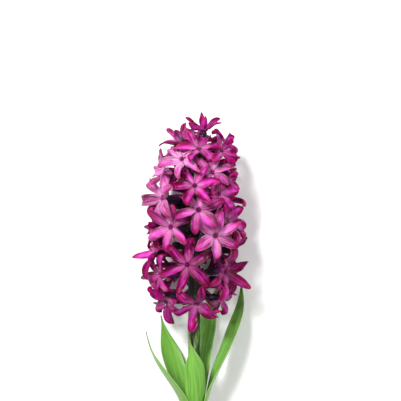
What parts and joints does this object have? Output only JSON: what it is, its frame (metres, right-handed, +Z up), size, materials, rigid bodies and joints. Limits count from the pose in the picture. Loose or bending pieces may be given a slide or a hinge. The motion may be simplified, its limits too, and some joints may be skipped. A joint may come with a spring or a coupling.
{
  "type": "hyacinth flower with bulb",
  "caption": "Magenta hyacinth in full flower, lifted with its leaves, bulb and roots and laid on a surface.",
  "frame": {"origin": "on the surface the plant lies on, under the middle of its bounding box", "axes": "+Y along the plant from the roots to the tip of the raceme, +Z up from the surface, +X across"},
  "size_m": [0.0912, 0.3274, 0.0747],
  "materials": {
    "petal": "soft satin",
    "stem": "satin, dark purple-green",
    "leaf": "waxy satin",
    "tunic": "dry papery skin",
    "root": "matte"
  },
  "bodies": {
    "root": {"bulb": "tunic", "floret_01": "petal", "floret_02": "petal", "floret_03": "petal", "floret_04": "petal", "floret_05": "petal", "floret_06": "petal", "floret_07": "petal", "floret_08": "petal", "floret_09": "petal", "floret_10": "petal", "floret_11": "petal", "floret_12": "petal", "floret_13": "petal", "floret_14": "petal", "floret_15": "petal", "floret_16": "petal", "floret_17": "petal", "floret_18": "petal", "floret_19": "petal", "floret_20": "petal", "floret_21": "petal", "floret_22": "petal", "floret_23": "petal", "floret_24": "petal", "floret_25": "petal", "floret_26": "petal", "floret_27": "petal", "floret_28": "petal", "floret_29": "petal", "floret_30": "petal", "floret_31": "petal", "floret_32": "petal", "floret_33": "petal", "floret_34": "petal", "floret_35": "petal", "floret_36": "petal", "floret_37": "petal", "floret_38": "petal", "floret_39": "petal", "floret_40": "petal", "floret_41": "petal", "floret_42": "petal", "leaf_1": "leaf", "leaf_2": "leaf", "leaf_3": "leaf", "leaf_4": "leaf", "leaf_5": "leaf", "roots": "root", "scape": "stem"}
  },
  "joints": []
}
